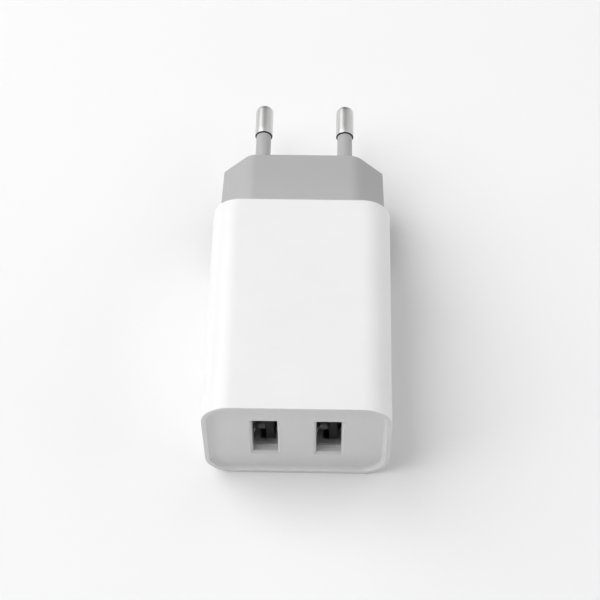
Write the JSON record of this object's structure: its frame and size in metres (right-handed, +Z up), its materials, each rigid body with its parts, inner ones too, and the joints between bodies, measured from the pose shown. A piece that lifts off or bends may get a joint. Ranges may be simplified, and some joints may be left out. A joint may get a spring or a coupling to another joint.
{
  "type": "usb wall charger",
  "caption": "Mains adapter with a rounded-box casing, recessed USB type A ports at one end and a flat European plug with round pins at the other; powers phones.",
  "frame": {"origin": "middle of the underside of the whole charger's box, plug pins included, as it lies on its broad face", "axes": "+X across the width, +Y from the USB ports to the pin tips, +Z up through the thickness"},
  "size_m": [0.038, 0.088, 0.027],
  "materials": {
    "white_housing_plastic": "satin",
    "grey_plug_plastic": "satin",
    "grey_sleeve_plastic": "satin",
    "nickel_plating": "satin",
    "port_steel": "satin",
    "black_moulding": "satin",
    "spring_brass": "satin",
    "circuit_board": "satin",
    "ferrite": "matte",
    "winding_tape": "satin",
    "capacitor_sleeve": "gloss",
    "blue_coating": "gloss"
  },
  "bodies": {
    "charger": {"main_housing": "white_housing_plastic", "plug_end_cap": "white_housing_plastic", "plug_base": "grey_plug_plastic", "main_circuit_board": "circuit_board", "transformer_core_lower": "ferrite", "transformer_core_upper": "ferrite", "transformer_bobbin": "black_moulding", "transformer_winding": "winding_tape", "input_capacitor_left": "capacitor_sleeve", "input_capacitor_right": "capacitor_sleeve", "output_capacitor_front": "capacitor_sleeve", "output_capacitor_back": "capacitor_sleeve", "filter_choke": "ferrite", "safety_capacitor": "blue_coating", "surge_varistor": "blue_coating", "fusible_resistor": "blue_coating", "bridge_rectifier": "black_moulding", "controller_chip": "black_moulding", "optocoupler": "black_moulding", "output_rectifier_chip": "black_moulding", "port_controller_chip": "black_moulding", "pin_left": "nickel_plating", "pin_sleeve_left": "grey_sleeve_plastic", "mains_contact_spring_left": "spring_brass", "usb_port_left_shell": "port_steel", "usb_port_left_insulator": "black_moulding", "pin_right": "nickel_plating", "pin_sleeve_right": "grey_sleeve_plastic", "mains_contact_spring_right": "spring_brass", "usb_port_right_shell": "port_steel", "usb_port_right_insulator": "black_moulding"},
    "left_contact_1": {"usb_port_left_contact_1": "spring_brass"},
    "left_contact_2": {"usb_port_left_contact_2": "spring_brass"},
    "left_contact_3": {"usb_port_left_contact_3": "spring_brass"},
    "left_contact_4": {"usb_port_left_contact_4": "spring_brass"},
    "right_contact_1": {"usb_port_right_contact_1": "spring_brass"},
    "right_contact_2": {"usb_port_right_contact_2": "spring_brass"},
    "right_contact_3": {"usb_port_right_contact_3": "spring_brass"},
    "right_contact_4": {"usb_port_right_contact_4": "spring_brass"}
  },
  "joints": [
    {"name": "left_contact_1_flex", "type": "hinge", "parent": "charger", "child": "left_contact_1", "pos_m": [-0.00625, -0.03045, 0.01], "axis": [0, 0, 1], "range_deg": [0, 4], "stiffness_Nm_per_rad": 0.05},
    {"name": "left_contact_2_flex", "type": "hinge", "parent": "charger", "child": "left_contact_2", "pos_m": [-0.00625, -0.03045, 0.0125], "axis": [0, 0, 1], "range_deg": [0, 4], "stiffness_Nm_per_rad": 0.05},
    {"name": "left_contact_3_flex", "type": "hinge", "parent": "charger", "child": "left_contact_3", "pos_m": [-0.00625, -0.03045, 0.0145], "axis": [0, 0, 1], "range_deg": [0, 4], "stiffness_Nm_per_rad": 0.05},
    {"name": "left_contact_4_flex", "type": "hinge", "parent": "charger", "child": "left_contact_4", "pos_m": [-0.00625, -0.03045, 0.017], "axis": [0, 0, 1], "range_deg": [0, 4], "stiffness_Nm_per_rad": 0.05},
    {"name": "right_contact_1_flex", "type": "hinge", "parent": "charger", "child": "right_contact_1", "pos_m": [0.0067, -0.03045, 0.01], "axis": [0, 0, 1], "range_deg": [0, 4], "stiffness_Nm_per_rad": 0.05},
    {"name": "right_contact_2_flex", "type": "hinge", "parent": "charger", "child": "right_contact_2", "pos_m": [0.0067, -0.03045, 0.0125], "axis": [0, 0, 1], "range_deg": [0, 4], "stiffness_Nm_per_rad": 0.05},
    {"name": "right_contact_3_flex", "type": "hinge", "parent": "charger", "child": "right_contact_3", "pos_m": [0.0067, -0.03045, 0.0145], "axis": [0, 0, 1], "range_deg": [0, 4], "stiffness_Nm_per_rad": 0.05},
    {"name": "right_contact_4_flex", "type": "hinge", "parent": "charger", "child": "right_contact_4", "pos_m": [0.0067, -0.03045, 0.017], "axis": [0, 0, 1], "range_deg": [0, 4], "stiffness_Nm_per_rad": 0.05}
  ],
  "couplings": [
    {"joint": "left_contact_2_flex", "follows": "left_contact_1_flex", "ratio": 1},
    {"joint": "left_contact_3_flex", "follows": "left_contact_1_flex", "ratio": 1},
    {"joint": "left_contact_4_flex", "follows": "left_contact_1_flex", "ratio": 1},
    {"joint": "right_contact_2_flex", "follows": "right_contact_1_flex", "ratio": 1},
    {"joint": "right_contact_3_flex", "follows": "right_contact_1_flex", "ratio": 1},
    {"joint": "right_contact_4_flex", "follows": "right_contact_1_flex", "ratio": 1}
  ]
}
